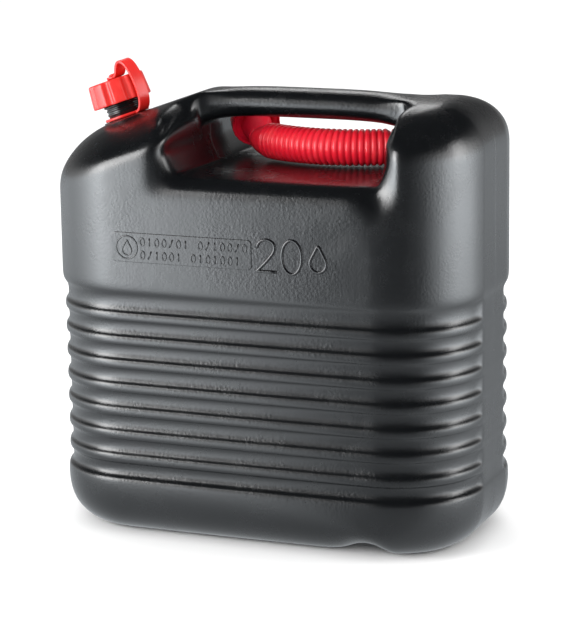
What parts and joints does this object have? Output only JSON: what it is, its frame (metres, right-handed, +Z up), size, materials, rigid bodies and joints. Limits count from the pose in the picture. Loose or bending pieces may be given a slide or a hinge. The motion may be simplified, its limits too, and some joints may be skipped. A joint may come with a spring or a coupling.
{
  "type": "fuel can",
  "caption": "Black ribbed plastic fuel can with a carrying handle, a tethered red screw cap on a leaning neck and a corrugated red spout kept in the handle recess.",
  "frame": {"origin": "on the ground under the middle of the can's box", "axes": "+X from the neck towards the pour grip along the long side, +Y through the handle recess towards the back, +Z up"},
  "size_m": [0.37, 0.205, 0.3878],
  "materials": {
    "tank_black": "glossy blow-moulded polyethylene with orange peel and die lines",
    "cap_red": "satin moulded polyethylene",
    "tether_red": "satin moulded polyethylene",
    "spout_red": "smooth moulded polyethylene",
    "hose_red": "corrugated flexible polyethylene",
    "washer_black": "smooth sealing rubber"
  },
  "bodies": {
    "root": {"tank_body": "tank_black", "tether_ring": "tether_red", "tether_strap": "tether_red"},
    "cap_carrier": {"tether_eye": "tether_red"},
    "cap": {"screw_cap": "cap_red", "cap_gasket": "washer_black"},
    "spout": {"spout_adapter": "spout_red", "spout_gasket": "washer_black", "spout_hose": "hose_red", "spout_outlet": "spout_red"},
    "union_nut": {"spout_union_nut": "spout_red"}
  },
  "joints": [
    {"name": "cap_rise", "type": "slide", "parent": "root", "child": "cap_carrier", "axis": [-0.3338, 0, 0.9426], "range_m": [0, 0.012], "deforming": ["tether_strap"]},
    {"name": "cap_turn", "type": "hinge", "parent": "cap_carrier", "child": "cap", "pos_m": [-0.14, 0, 0.33744], "axis": [-0.3338, 0, 0.9426], "range_deg": [0, 1080]},
    {"name": "spout_draw", "type": "slide", "parent": "root", "child": "spout", "axis": [0, 1, 0], "range_m": [0, 0.125]},
    {"name": "union_nut_turn", "type": "hinge", "parent": "spout", "child": "union_nut", "pos_m": [-0.0375, 0.035, 0.3298], "axis": [0.5051, -0.7902, -0.3471], "continuous": true}
  ],
  "couplings": [
    {"joint": "cap_rise", "follows": "cap_turn", "m_per_rad": 0.00063662}
  ]
}
